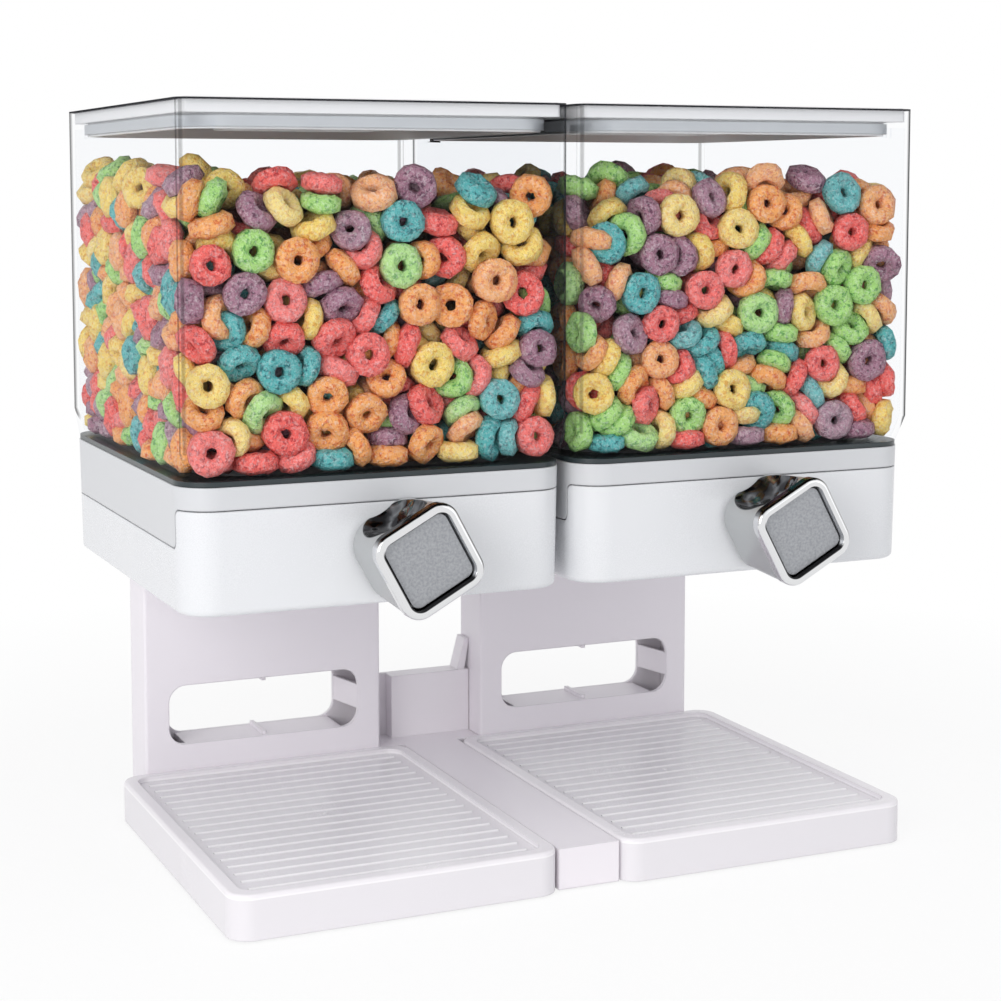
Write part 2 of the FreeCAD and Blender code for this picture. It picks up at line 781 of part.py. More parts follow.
def make_tray():
    y = tray_centre_y
    body = prism(tray_width, tray_depth, tray_radius, foot_proud, tray_top, 0, y)
    body = body.makeFillet(tray_edge_round, edges_at(body, tray_top))
    floor_z = tray_top - tray_recess
    inner_w = tray_width - 2 * tray_rim
    inner_d = tray_depth - 2 * tray_rim
    body = body.cut(prism(inner_w, inner_d, tray_radius - tray_rim / 2, floor_z, tray_top + 1, 0, y))
    under = floor_z - tray_floor
    body = body.cut(prism(tray_width - 2 * tray_wall, tray_depth - 2 * tray_wall, tray_radius - tray_wall,
                          foot_proud - 1, under, 0, y))
    added = []
    run = (inner_d - 2 * tray_rib_margin) / 2
    half_count = int(run // tray_rib_pitch)
    for i in range(-half_count, half_count + 1):
        added.append(tray_rib(y + i * tray_rib_pitch, floor_z))
    added.append(rod(gate_radius, floor_z, floor_z + gate_height, 0, y + tray_rib_pitch / 2))
    lift = foot_proud + lattice_lift
    t = rib_thickness / 2
    half_w = tray_width / 2 - tray_wall / 2
    half_d = tray_depth / 2 - tray_wall / 2
    across = int(tray_width // lattice_pitch)
    along = int(tray_depth // lattice_pitch)
    for i in range(1, across + 1):
        x = -tray_width / 2 + i * tray_width / (across + 1)
        added.append(box(x - t, x + t, y - half_d, y + half_d, lift, under + 1))
    for i in range(1, along + 1):
        rib_y = y - tray_depth / 2 + i * tray_depth / (along + 1)
        added.append(box(-half_w, half_w, rib_y - t, rib_y + t, lift, under + 1))
    for fx, fy in foot_places():
        added.append(rod(foot_radius + foot_boss_wall, foot_proud, under + 1, fx, fy))
    back = y + tray_depth / 2
    for side in (-1, 1):
        added.append(Part.makeCylinder(tray_screw_boss, tray_screw_length + tray_wall,
                                       Vector(side * tray_screw_x, back - tray_screw_length - tray_wall,
                                              tray_screw_z), Y))
    body = fused(body, added)
    for fx, fy in foot_places():
        body = body.cut(rod(foot_radius, foot_proud - 1, foot_thickness, fx, fy))
    for side in (-1, 1):
        body = body.cut(Part.makeCylinder(screw_shank, tray_screw_length, Vector(side * tray_screw_x,
                        back - tray_screw_length, tray_screw_z), Y))
    return body


def make_tray_feet():
    return Part.makeCompound([rod(foot_radius, 0, foot_thickness, x, y) for x, y in foot_places()])


def make_tray_screws():
    solids = []
    for side in (-1, 1):
        piece = screw(tray_screw_length)
        piece.rotate(ORIGIN, X, 90)
        piece.translate(Vector(side * tray_screw_x, column_face_y + column_wall, tray_screw_z))
        solids.append(piece)
    return Part.makeCompound(solids)


def make_bridge():
    # Low beam between the trays, a block between the columns and a leaning latch tab.
    face = unit_y + column_face_y
    beam_half = (unit_pitch - tray_width) / 2 - bridge_gap
    block_half = (unit_pitch - column_width) / 2 - bridge_gap
    beam_front = face - tray_depth + bridge_front_inset
    block_front = face + bridge_block_inset
    block_back = block_front + bridge_block_depth
    beam_top = tray_top - bridge_top_drop
    t = bridge_wall
    floor = foot_proud
    behind = face + bridge_gap
    body = fused(box(-beam_half, beam_half, beam_front, block_back, floor, beam_top),
                 [box(-block_half, block_half, behind, block_back, floor, beam_top),
                  box(-block_half, block_half, block_front, block_back, floor, bridge_block_top)])
    body = body.cut(box(-block_half - 1, -block_half + bridge_groove_width, block_front - 1,
                        block_front + bridge_groove_depth, beam_top, bridge_block_top + 1))
    body = body.cut(box(-beam_half + t, beam_half - t, beam_front + t, behind + t, floor - 1, beam_top - t))
    body = body.cut(box(-block_half + t, block_half - t, behind + t, block_back - t, floor - 1, beam_top - t))
    body = body.cut(box(-block_half + bridge_groove_width + t, block_half - t, block_front + t,
                        block_back - t, floor - 1, bridge_block_top - t))
    added = []
    for y in bridge_foot_places():
        added.append(rod(foot_radius + foot_boss_wall, floor, beam_top - t / 2, 0, y))
    # Tongues that pass into the columns' side walls
    tongue_y = face + tongue_inset
    tongue_x = block_half + tongue_reach
    for side in (-1, 1):
        inner = side * (block_half - t / 2)
        outer = side * tongue_x
        added.append(box(min(inner, outer), max(inner, outer), tongue_y, tongue_y + tongue_depth,
                         tongue_bottom, tongue_bottom + tongue_height))
    tip_x = (unit_pitch - column_width) / 2 - tab_gap
    tab_y = (block_front + block_back - tab_depth) / 2
    tab_top = bridge_block_top + tab_rise
    root = bridge_block_top - t
    tab = extruded([Vector(tab_foot_x, tab_y, root), Vector(tab_foot_x + tab_foot_width, tab_y, root),
                    Vector(tip_x, tab_y, tab_top - tab_tip_width), Vector(tip_x, tab_y, tab_top),
                    Vector(tip_x - tab_tip_width, tab_y, tab_top)], Vector(0, tab_depth, 0))
    added.append(tab)
    body = fused(body, added)
    for y in bridge_foot_places():
        body = body.cut(rod(foot_radius, floor - 1, foot_thickness, 0, y))
    return body


def bridge_foot_places():
    face = unit_y + column_face_y
    return (face - tray_depth + bridge_front_inset + foot_inset, face + bridge_block_inset)


def make_bridge_feet():
    return Part.makeCompound([rod(foot_radius, 0, foot_thickness, 0, y) for y in bridge_foot_places()])


unit_pieces = {
    "tray": make_tray,
    "tray_feet": make_tray_feet,
    "tray_screws": make_tray_screws,
    "column_cover": make_column_cover,
    "housing": make_housing,
    "collar": make_collar,
    "hopper": make_hopper,
    "spout": make_spout,
    "front_bush": make_front_bush,
    "rear_bush": make_rear_bush,
    "shaft_seal": make_shaft_seal,
    "head_screws": make_head_screws,
    "shaft": make_shaft,
    "shaft_clip": make_shaft_clip,
    "wheel_hub": make_wheel_hub,
    "paddle": make_paddle,
    "knob": make_knob,
    "knob_bezel": make_knob_bezel,
    "knob_face": make_knob_face,
    "canister": make_canister,
    "canister_gasket": make_canister_gasket,
    "lid": make_lid,
    "lid_seal": make_lid_seal,
}

os.makedirs("parts", exist_ok=True)


def save(shape, name, x, y):
    shape.translate(Vector(x, y, 0))
    shape.exportStep("parts/%s.step" % name)
    print(name, shape.isValid(), len(shape.Solids), round(shape.Volume))


half_pitch = unit_pitch / 2
for name, make in unit_pieces.items():
    piece = make()
    save(piece.copy(), "left_" + name, -half_pitch, unit_y)
    save(piece.copy(), "right_" + name, half_pitch, unit_y)
save(make_column(1), "left_column", -half_pitch, unit_y)
save(make_column(-1), "right_column", half_pitch, unit_y)
save(make_bridge(), "bridge", 0, 0)
save(make_bridge_feet(), "bridge_feet", 0, 0)
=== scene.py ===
import math
import bpy
import numpy as np
from mathutils import Matrix, Vector


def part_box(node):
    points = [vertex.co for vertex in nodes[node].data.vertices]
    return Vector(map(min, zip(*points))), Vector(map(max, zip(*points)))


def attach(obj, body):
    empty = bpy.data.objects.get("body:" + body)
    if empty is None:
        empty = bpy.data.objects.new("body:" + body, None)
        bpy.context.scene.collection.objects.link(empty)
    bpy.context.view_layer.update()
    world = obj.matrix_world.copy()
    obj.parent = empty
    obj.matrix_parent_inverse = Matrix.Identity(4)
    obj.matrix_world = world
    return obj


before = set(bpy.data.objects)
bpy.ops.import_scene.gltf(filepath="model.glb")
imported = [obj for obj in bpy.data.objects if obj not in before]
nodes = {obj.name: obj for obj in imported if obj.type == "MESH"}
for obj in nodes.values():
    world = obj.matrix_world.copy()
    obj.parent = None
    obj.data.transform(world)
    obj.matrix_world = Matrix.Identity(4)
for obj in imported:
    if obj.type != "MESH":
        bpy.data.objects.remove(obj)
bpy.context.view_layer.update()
sides = ("left", "right")


# Shader maths as Python expressions

class Wire:
    # One output of a node. Arithmetic on it adds Math nodes to the same tree.
    def __init__(self, finish, socket):
        self.finish = finish
        self.socket = socket

    def maths(self, operation, first, second=None):
        values = {0: first} if second is None else {0: first, 1: second}
        return self.finish.add("ShaderNodeMath", {"operation": operation}, values)

    def __add__(self, other):
        return self.maths("ADD", self, other)

    def __radd__(self, other):
        return self.maths("ADD", other, self)

    def __sub__(self, other):
        return self.maths("SUBTRACT", self, other)

    def __rsub__(self, other):
        return self.maths("SUBTRACT", other, self)

    def __mul__(self, other):
        return self.maths("MULTIPLY", self, other)

    def __rmul__(self, other):
        return self.maths("MULTIPLY", other, self)

    def __truediv__(self, other):
        return self.maths("DIVIDE", self, other)

    def __pow__(self, other):
        return self.maths("POWER", self, other)

    def __abs__(self):
        return self.maths("ABSOLUTE", self)

    def above(self, other):
        return self.maths("MAXIMUM", self, other)


class Finish:
    # A material under construction, or a world where one is given.
    def __init__(self, name, world=None):
        self.owner = world or bpy.data.materials.new(name)
        self.owner.use_nodes = True
        self.tree = self.owner.node_tree
        self.tree.nodes.clear()

    def add(self, kind, settings=None, values=None, output=0):
        # Adds one node: its settings first, then a value or a wire for each socket.
        node = self.tree.nodes.new(kind)
        for key, value in (settings or {}).items():
            if key == "stops":
                ramp = node.color_ramp
                while len(ramp.elements) < len(value):
                    ramp.elements.new(1.0)
                for element, (place, colour) in zip(ramp.elements, value):
                    element.position = place
                    element.color = tuple(colour) + (1.0,)
            else:
                setattr(node, key, value)
        for key, value in (values or {}).items():
            socket = node.inputs[key]
            if isinstance(value, Wire):
                self.tree.links.new(value.socket, socket)
            elif value is not None:
                socket.default_value = value
        return Wire(self, node.outputs[output]) if len(node.outputs) else None

    def place(self, scale=(1, 1, 1), turn=(0, 0, 0), centre=(0, 0, 0)):
        # Object coordinates in metres, centred, turned and scaled.
        where = self.add("ShaderNodeTexCoord", output="Object")
        return self.add("ShaderNodeMapping", {}, {"Vector": where, "Scale": scale, "Rotation": turn,
                                                  "Location": centre})

    def split(self, vector):
        # The three numbers of a vector.
        first = self.add("ShaderNodeSeparateXYZ", {}, {"Vector": vector})
        return [Wire(self, socket) for socket in first.socket.node.outputs]

    def distance(self, where, point):
        return self.add("ShaderNodeVectorMath", {"operation": "DISTANCE"}, {0: where, 1: point},
                        output="Value")

    def noise(self, where, scale, detail=2.0, rough=0.5, output=0):
        return self.add("ShaderNodeTexNoise", {}, {"Vector": where, "Scale": scale, "Detail": detail,
                                                   "Roughness": rough}, output)

    def ramp(self, value, stops):
        return self.add("ShaderNodeValToRGB", {"stops": stops}, {"Fac": value})

    def remap(self, value, low, high, toLow, toHigh):
        return self.add("ShaderNodeMapRange", {}, {"Value": value, "From Min": low, "From Max": high,
                                                   "To Min": toLow, "To Max": toHigh})

    def blend(self, share, first, second):
        return self.add("ShaderNodeMix", {"data_type": "RGBA"}, {0: share, 6: first, 7: second}, output=2)

    def bump(self, height, depth, strength=1.0, under=None):
        return self.add("ShaderNodeBump", {}, {"Height": height, "Distance": depth, "Strength": strength,
                                               "Normal": under})

    def soften(self, radius, samples=4):
        # Rounds the look of sharp edges.
        return self.add("ShaderNodeBevel", {"samples": samples}, {"Radius": radius})

    def surface(self, **values):
        return self.add("ShaderNodeBsdfPrincipled", {}, {k.replace("_", " "): v for k, v in values.items()})

    def done(self, shader):
        self.add("ShaderNodeOutputMaterial", {}, {"Surface": shader})
        return self.owner


plastic = {
    "cloudScale": 7.0,
    "cloudRange": (0.35, 0.65),
    "textureScale": 2600.0,
    "textureDepth": 0.00002,
    "smearScale": 30.0,
    "smearShare": 0.04,          # how far uneven polish changes the roughness
    "textureShare": 0.05,
    "edge": 0.0010,              # radius that rounds the look of sharp edges
}
rubber = {
    "cloudScale": 60.0,
    "textureScale": 1900.0,
    "textureDepth": 0.00005,
    "textureShare": 0.12,
    "edge": 0.0004,
}
plating = {
    "waveScale": 120.0,
    "waveDepth": 0.00008,
    "hairStretch": (60, 60, 900),
    "hairScale": 8.0,
    "hairRange": (0.5, 0.8),
    "hairShare": 0.08,           # how far hairline wear raises the roughness
    "edge": 0.0004,
}


def mouldedColour(f, colour, shade):
    # Faint clouding of the plastic's colour.
    cloud = f.noise(f.place(), plastic["cloudScale"])
    return f.blend(f.remap(cloud, *plastic["cloudRange"], 0.0, 1.0), colour + (1,), shade + (1,))


def mouldedSkin(f, base, gloss, edge):
    # Fine tool texture and slightly uneven polish over a colour.
    where = f.place()
    fine = f.noise(where, plastic["textureScale"], 1.0)
    smear = f.noise(where, plastic["smearScale"], 2.0, 0.4)
    rough = gloss + (smear - 0.5) * plastic["smearShare"] + (fine - 0.5) * plastic["textureShare"]
    normal = f.bump(fine, plastic["textureDepth"], 0.5, f.soften(edge))
    return f.done(f.surface(Base_Color=base, Roughness=rough, Normal=normal))


def moulded(name, colour, shade, gloss):
    f = Finish(name)
    return mouldedSkin(f, mouldedColour(f, colour, shade), gloss, plastic["edge"])


def ribbedTray(name, colour, shade, gloss, top, look):
    # Moulded plastic with, below the tray's rim, painted shade on the floor and a painted highlight on the
    # ribs.
    f = Finish(name)
    height = f.split(f.place(centre=(0, 0, -top)))[2]
    sunk = f.remap(height, *look["recess"], 1.0, 0.0)
    crown = f.remap(height, *look["rise"], 0.0, 1.0)
    # Painted shade on the floor between the ribs, painted highlight on their crowns
    paintedRibShading = f.blend(crown, look["floor"] + (1,), look["crown"] + (1,))
    base = f.blend(sunk, mouldedColour(f, colour, shade), paintedRibShading)
    return mouldedSkin(f, base, gloss, look["edge"])


def rubbery(name, colour, shade, gloss):
    # Rubber or silicone: slightly uneven colour and a fine matt texture.
    f = Finish(name)
    where = f.place()
    cloud = f.noise(where, rubber["cloudScale"], 3.0)
    fine = f.noise(where, rubber["textureScale"], 2.0)
    base = f.blend(cloud, colour + (1,), shade + (1,))
    rough = gloss + (fine - 0.5) * rubber["textureShare"]
    normal = f.bump(fine, rubber["textureDepth"], 0.5, f.soften(rubber["edge"]))
    return f.done(f.surface(Base_Color=base, Roughness=rough, Normal=normal))


def clearPlastic(name, look, centre, half, top):
    # Clear moulded plastic: see-through face on, and glossier where it is seen edge on. The light that the
    # upright corners and the top rim bend away shows as dark lines. A corner's measure is how far a point
    # lies past the straight walls in x times how far in y, which is zero anywhere but on a corner.
    f = Finish(name)
    wave = f.noise(f.place(), look["waveScale"], 1.0)
    normal = f.bump(wave, look["waveDepth"], 0.3)
    x, y, z = f.split(f.place(centre=(-centre[0], -centre[1], -top)))
    inX = (abs(x) - (half[0] - look["corner"])).above(0.0)
    inY = (abs(y) - (half[1] - look["corner"])).above(0.0)
    corner = inX * inY * look["squareMillimetres"]
    edgeOn = f.add("ShaderNodeLayerWeight", {}, {"Blend": 0.5, "Normal": normal}, output="Facing")
    line = f.remap(corner, *look["line"], 0.0, look["lineDepth"])
    seen = f.remap(edgeOn, *look["bendSeen"], 0.0, look["bendDepth"])
    bent = f.remap(corner, *look["bend"], 0.0, 1.0) * seen
    rim = f.remap(z, *look["rim"], 0.0, look["rimDepth"])
    clear = f.add("ShaderNodeBsdfTransparent", {}, {"Color": look["tint"] + (1,)})
    skin = f.surface(Base_Color=look["skin"] + (1,), Roughness=look["rough"], Normal=normal)
    dark = f.add("ShaderNodeBsdfDiffuse", {}, {"Color": look["dark"] + (1,), "Normal": normal})
    glossy = look["faceOn"] + edgeOn ** 4 * look["edgeOn"]
    wall = f.add("ShaderNodeMixShader", {}, {0: glossy, 1: clear, 2: skin})
    return f.done(f.add("ShaderNodeMixShader", {}, {0: line.above(bent).above(rim), 1: wall, 2: dark}))


def brightMetal(name, colour, gloss):
    # Turned or plated metal: polished, with faint waviness and hairline wear.
    f = Finish(name)
    wave = f.noise(f.place(), plating["waveScale"])
    hair = f.noise(f.place(scale=plating["hairStretch"]), plating["hairScale"])
    rough = gloss + f.remap(hair, *plating["hairRange"], 0.0, plating["hairShare"])
    normal = f.bump(wave, plating["waveDepth"], 0.4, f.soften(plating["edge"]))
    return f.done(f.surface(Base_Color=colour + (1,), Metallic=1.0, Roughness=rough, Normal=normal))


def satinMetal(name, look):
    # Satin plating over a fine pebbled grain.
    f = Finish(name)
    where = f.place()
    grains = f.noise(where, look["grainScale"], 2.0, 0.6)
    fine = f.noise(where, look["textureScale"], 1.0)
    share = f.remap(grains, *look["grainRange"], 0.0, 1.0)
    base = f.blend(share, look["colour"] + (1,), look["shade"] + (1,))
    rough = look["gloss"] + (grains - 0.5) * look["grainShare"]
    normal = f.bump(grains + fine * 0.4, look["depth"], 0.8, f.soften(look["edge"]))
    return f.done(f.surface(Base_Color=base, Metallic=look["metal"], Roughness=rough, Normal=normal))


def rimMetal(name, side, look):
    # The bright frame round the knob's face: polished plating, with a painted dark reflection on the outer
    # flanks that face up and on the inner ones across from them. The distance from the square's core is
    # the same all along each line of the frame, round the corners too.
    low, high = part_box(side + "_knob")
    middle = (low + high) / 2
    f = Finish(name)
    x, _, z = f.split(f.place(centre=(-middle.x, 0, -middle.z)))
    turn = math.radians(look["restAngle"])
    across = x * math.cos(turn) + z * math.sin(turn)
    along = z * math.cos(turn) - x * math.sin(turn)
    right = (across - look["core"]).above(0.0) - (0 - across - look["core"]).above(0.0)
    upper = (along - look["core"]).above(0.0) - (0 - along - look["core"]).above(0.0)
    reach = (right * right + upper * upper) ** 0.5
    facing = (right + upper) / reach
    outward = f.remap(facing, 0.0, look["fade"], 0.0, 1.0)
    inward = f.remap(facing, -look["fade"], 0.0, 1.0, 0.0)
    outer = f.remap(reach, *look["outer"], 0.0, 1.0) * outward
    inner = f.remap(reach, *look["inner"], 1.0, 0.0) * inward
    wave = f.noise(f.place(), plating["waveScale"])
    # Painted dark reflection: the flanks blend towards black where dark surroundings would be mirrored.
    base = f.blend(outer.above(inner) * look["paintedReflection"], look["plating"] + (1,), look["black"] + (1,))
    rough = look["gloss"] + wave * look["waveShare"]
    normal = f.bump(wave, plating["waveDepth"], 0.4, f.soften(plating["edge"]))
    return f.done(f.surface(Base_Color=base, Metallic=1.0, Roughness=rough, Normal=normal))


def gripMetal(name, side, look):
    # The knob's body: satin plating, and polished hammered plating inside the two finger scoops. A scoop is
    # where the surface lies at the scoop's own radius from the middle of its sphere.
    low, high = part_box(side + "_knob")
    middle = (low + high) / 2
    f = Finish(name)
    where = f.place()
    turn = math.radians(look["restAngle"])
    scoops = []
    for way in (-1, 1):
        point = (middle.x - way * look["lift"] * math.sin(turn), middle.y,
                 middle.z + way * look["lift"] * math.cos(turn))
        apart = f.distance(where, point)
        scoops.append(1 - f.remap(apart, look["radius"], look["radius"] + look["fade"], 0.0, 1.0))
    scoop = scoops[0].above(scoops[1])
    fine = f.noise(where, look["textureScale"])
    dents = f.add("ShaderNodeTexVoronoi", {"feature": "SMOOTH_F1"},
                  {"Vector": where, "Scale": look["dents"]}, output="Distance")
    folds = f.noise(where, look["dents"] * look["foldShare"], 1.5)
    base = f.blend(scoop, look["satin"] + (1,), f.ramp(folds, look["foil"]))
    rough = (look["gloss"] + (fine - 0.5) * look["textureShare"]
             - scoop * (look["gloss"] - look["scoopGloss"]))
    satin = f.bump(fine, look["textureDepth"], 0.5, f.soften(look["edge"]))
    normal = f.bump((dents + folds) * scoop, look["depth"], 1.0, satin)
    metal = look["metal"] + scoop * (1 - look["metal"])
    return f.done(f.surface(Base_Color=base, Metallic=metal, Roughness=rough, Normal=normal))


whites = {
    "housing": ((0.78, 0.79, 0.81), (0.765, 0.775, 0.80), 0.27),
    "collar": ((0.65, 0.66, 0.68), (0.64, 0.65, 0.67), 0.33),
    "column": ((0.90, 0.86, 0.905), (0.885, 0.845, 0.89), 0.36),
    "tray": ((0.89, 0.86, 0.89), (0.875, 0.845, 0.875), 0.26),
    "bridge": ((0.90, 0.86, 0.90), (0.885, 0.845, 0.885), 0.33),
    "lid": ((0.86, 0.86, 0.865), (0.845, 0.845, 0.85), 0.30),
    "hub": ((0.70, 0.70, 0.71), (0.66, 0.66, 0.67), 0.40),
    "bush": ((0.66, 0.65, 0.60), (0.62, 0.61, 0.56), 0.38),
}
canisterLook = {
    "tint": (0.990, 0.993, 0.997),
    "skin": (0.54, 0.56, 0.58),
    "rough": 0.04,
    "waveScale": 26.0,
    "waveDepth": 0.0002,
    "faceOn": 0.004,
    "edgeOn": 0.08,
    "dark": (0.03, 0.03, 0.035),
    "corner": 0.005,             # radius of the upright corners
    "squareMillimetres": 1e6,    # in a square metre
    "line": (11.0, 12.3),        # square millimetres past the walls: where a corner's line fades in
    "lineDepth": 0.42,
    "bend": (3.0, 6.0),          # the same, for the part that is dark where it is seen edge on
    "bendSeen": (0.30, 0.55),    # how far edge on it must be seen
    "bendDepth": 0.75,
    "rim": (-0.0009, -0.0005),   # metres below the top: where the rim's line fades in
    "rimDepth": 0.9,
}
knobLook = {
    "restAngle": 28.6,
    "lift": 0.0373,              # knob's axis to the middle of a scoop's sphere
    "radius": 0.02405,           # the scoop's sphere, and a hair more
    "fade": 0.0003,
    "satin": (0.54, 0.555, 0.56),
    "foil": [(0.34, (0.02, 0.02, 0.022)), (0.48, (0.09, 0.09, 0.095)),
             (0.56, (0.30, 0.31, 0.32)), (0.64, (0.05, 0.05, 0.055))],
    "gloss": 0.36,
    "scoopGloss": 0.14,
    "metal": 0.75,
    "dents": 150.0,
    "foldShare": 0.6,            # scale of the foil's folds as a share of the dents'
    "depth": 0.0022,
    "textureScale": 1400.0,
    "textureDepth": 0.00002,
    "textureShare": 0.1,
    "edge": 0.0005,
}
bezelLook = {
    "restAngle": 28.6,
    "plating": (0.76, 0.765, 0.775),
    # colour of the painted dark reflection
    "black": (0.012, 0.012, 0.014),
    "paintedReflection": 0.97,
    "fade": 0.6,                 # how far a flank must face up before its painted dark reflection is full
    "gloss": 0.06,
    "waveShare": 0.04,
    "core": 0.01125,             # half side of the square inside all the rounded lines
    "outer": (0.0076, 0.0081),   # distance from the core at which the outer flank starts
    "inner": (0.0053, 0.0056),
}
trayLook = {
    "recess": (-0.0018, -0.0012),  # metres below the rim: where the sunk floor's colours begin
    "rise": (-0.00245, -0.0020),   # from the floor between the ribs to their crowns
    # Painted shade on the floor between the ribs and a painted highlight on their crowns
    "floor": (0.82, 0.795, 0.825),
    "crown": (0.97, 0.95, 0.97),
    "edge": 0.0006,
}
faceLook = {
    "colour": (0.40, 0.41, 0.43),
    "shade": (0.29, 0.30, 0.32),
    "gloss": 0.42,
    "grainScale": 900.0,
    "grainRange": (0.3, 0.7),
    "grainShare": 0.2,
    "textureScale": 3200.0,
    "depth": 0.00008,
    "metal": 0.5,
    "edge": 0.0004,
}
finishes = {name: moulded(name + "Plastic", *look) for name, look in whites.items()}
finishes["tray"] = ribbedTray("ribbedTrayPlastic", *whites["tray"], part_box("left_tray")[1].z, trayLook)
for side in sides:
    low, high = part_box(side + "_canister")
    finishes[side + "Canister"] = clearPlastic(side + "CanisterPlastic", canisterLook, (low + high) / 2,
                                               (high - low) / 2, high.z)
    finishes[side + "Knob"] = gripMetal(side + "KnobPlating", side, knobLook)
    finishes[side + "Bezel"] = rimMetal(side + "BezelPlating", side, bezelLook)
finishes["gasket"] = rubbery("gasketRubber", (0.018, 0.028, 0.032), (0.03, 0.042, 0.046), 0.30)
finishes["seal"] = rubbery("sealSilicone", (0.55, 0.57, 0.59), (0.50, 0.52, 0.54), 0.45)
finishes["paddle"] = rubbery("paddleSilicone", (0.48, 0.51, 0.53), (0.44, 0.46, 0.48), 0.5)
finishes["foot"] = rubbery("footRubber", (0.05, 0.05, 0.055), (0.08, 0.08, 0.085), 0.7)
finishes["steel"] = brightMetal("turnedSteel", (0.55, 0.55, 0.57), 0.28)
finishes["face"] = satinMetal("faceSatin", faceLook)
print("finishes ready:", len(finishes))

worn = {
    "tray": "tray", "tray_feet": "foot", "tray_screws": "steel", "column": "column",
    "column_cover": "column", "housing": "housing", "collar": "collar", "hopper": "hub",
    "spout": "housing", "front_bush": "bush", "rear_bush": "bush", "shaft_seal": "seal",
    "head_screws": "steel", "shaft": "steel", "shaft_clip": "steel", "wheel_hub": "hub",
    "paddle": "paddle", "knob": "Knob", "knob_bezel": "Bezel", "knob_face": "face",
    "canister": "Canister", "canister_gasket": "gasket", "lid": "lid", "lid_seal": "seal",
}


def wear(node, finish):
    # Gives a CAD node its finish in every material slot that it has.
    mesh = nodes[node].data
    for i in range(max(1, len(mesh.materials))):
        if i < len(mesh.materials):
            mesh.materials[i] = finish
        else:
            mesh.materials.append(finish)


for side in sides:
    for part, finish in worn.items():
        wear(side + "_" + part, finishes.get(finish) or finishes[side + finish])
wear("bridge", finishes["bridge"])
wear("bridge_feet", finishes["foot"])
print("solids dressed:", len(worn) * len(sides) + 2)


# Ring cereal in the canisters

cereal = {
    "ringRadius": 0.0096,        # outside of a ring
    "tubeRadius": 0.0039,        # across the tube, in the ring's plane
    "thickness": 0.0088,         # along the ring's axis
    "balls": 8,                  # spheres that stand for a ring while it settles
    "count": 980,
    "layer": 0.028,              # depth of the rings behind the walls
    "fillTop": 0.3085,
    "edgeTop": 0.3215,           # how high the rings start beside the walls, before they settle
    "steps": 200,
    "fall": 0.00007,             # metres that gravity adds in a step
    "turns": 13,                 # faces round a ring
    "sections": 6,               # faces round its tube
    "startSize": 0.35,           # share of their size at which the rings start
    "growing": 0.6,              # share of the steps in which they grow
    "sizeSpread": 0.07,
    "seed": 41,
    "tries": 4000,               # places drawn at a time
    "wallStart": 0.0055,         # first places: distance from the walls
    "floorStart": 0.006,         # and from the floor
    "thinner": 0.0095,           # how much less deep than the layer they lie beside the core
    "coverStart": 0.004,         # and how far inside the top cover
    "swelling": 1.02,            # balls are this much larger than the tube
    "search": 0.0014,            # how far beyond touching a pair of balls is listed
    "relist": 4,                 # steps between lists
    "passes": 2,                 # times that a step pushes balls apart
    "push": 0.42,                # share of an overlap that each ball gives way
    "carry": 0.55,               # share of the last step's movement that goes on
    "fastest": 0.0008,           # metres in a step
    "calmFrom": 0.75,            # share of the steps after which movement is damped
    "calming": 0.3,
    "quickShare": 4,
    "lumps": 0.07,               # lumps and ovalness as shares of a ring's size
    "lumpLimit": 1.6,
    "oval": 0.07,
    "roundness": 0.9,            # power that turns the tube's round section into a rounded box
    "deepFrom": 0.004,           # height above the fill's top from which a point's depth counts
}
canisterRoom = {
    "wall": 0.0025,
    "gasketInset": 0.0004,       # the gasket is this much smaller than the canister
    "floorGap": 0.002,           # above the gasket
    "lowRadius": 0.0105,
    "topRadius": 0.0025,
}
coreShape = {
    "rows": 26,
    "turns": 96,
    "radius": 0.012,
    "cap": 0.5,                  # size of the ring half way in on the floor and on the top
    "under": 0.004,              # how far the core reaches in under the layer of rings
    "gap": 0.001,                # to the floor and to the rings above
    "digits": 9,                 # a sine or cosine that is zero to so many digits has no sign
}
cerealColours = {
    # Light tone, dark freckles, share of pale dust, share of the rings
    "Red": ((1.0, 0.16, 0.135), (0.54, 0.03, 0.035), 0.17, 0.18),
    "Orange": ((1.0, 0.45, 0.13), (0.74, 0.15, 0.03), 0.19, 0.25),
    "Yellow": ((1.0, 0.76, 0.20), (0.82, 0.42, 0.06), 0.18, 0.20),
    "Green": ((0.46, 0.79, 0.23), (0.11, 0.36, 0.07), 0.17, 0.12),
    "Teal": ((0.11, 0.51, 0.51), (0.015, 0.15, 0.17), 0.17, 0.12),
    "Purple": ((0.42, 0.20, 0.28), (0.14, 0.045, 0.09), 0.19, 0.13),
}


def canisterInside(side):
    # Inner box of a canister: half sizes, middle, floor, top and the corner radius at floor and top.
    low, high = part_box(side + "_canister_gasket")
    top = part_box(side + "_lid_seal")[0].z
    inset, wall = canisterRoom["gasketInset"], canisterRoom["wall"]
    half = ((high.x - low.x) / 2 + inset - wall, (high.y - low.y) / 2 + inset - wall)
    middle = ((high.x + low.x) / 2, (high.y + low.y) / 2)
    return {"half": half, "middle": middle, "floor": high.z + canisterRoom["floorGap"], "top": top,
            "lowRadius": canisterRoom["lowRadius"], "topRadius": canisterRoom["topRadius"]}


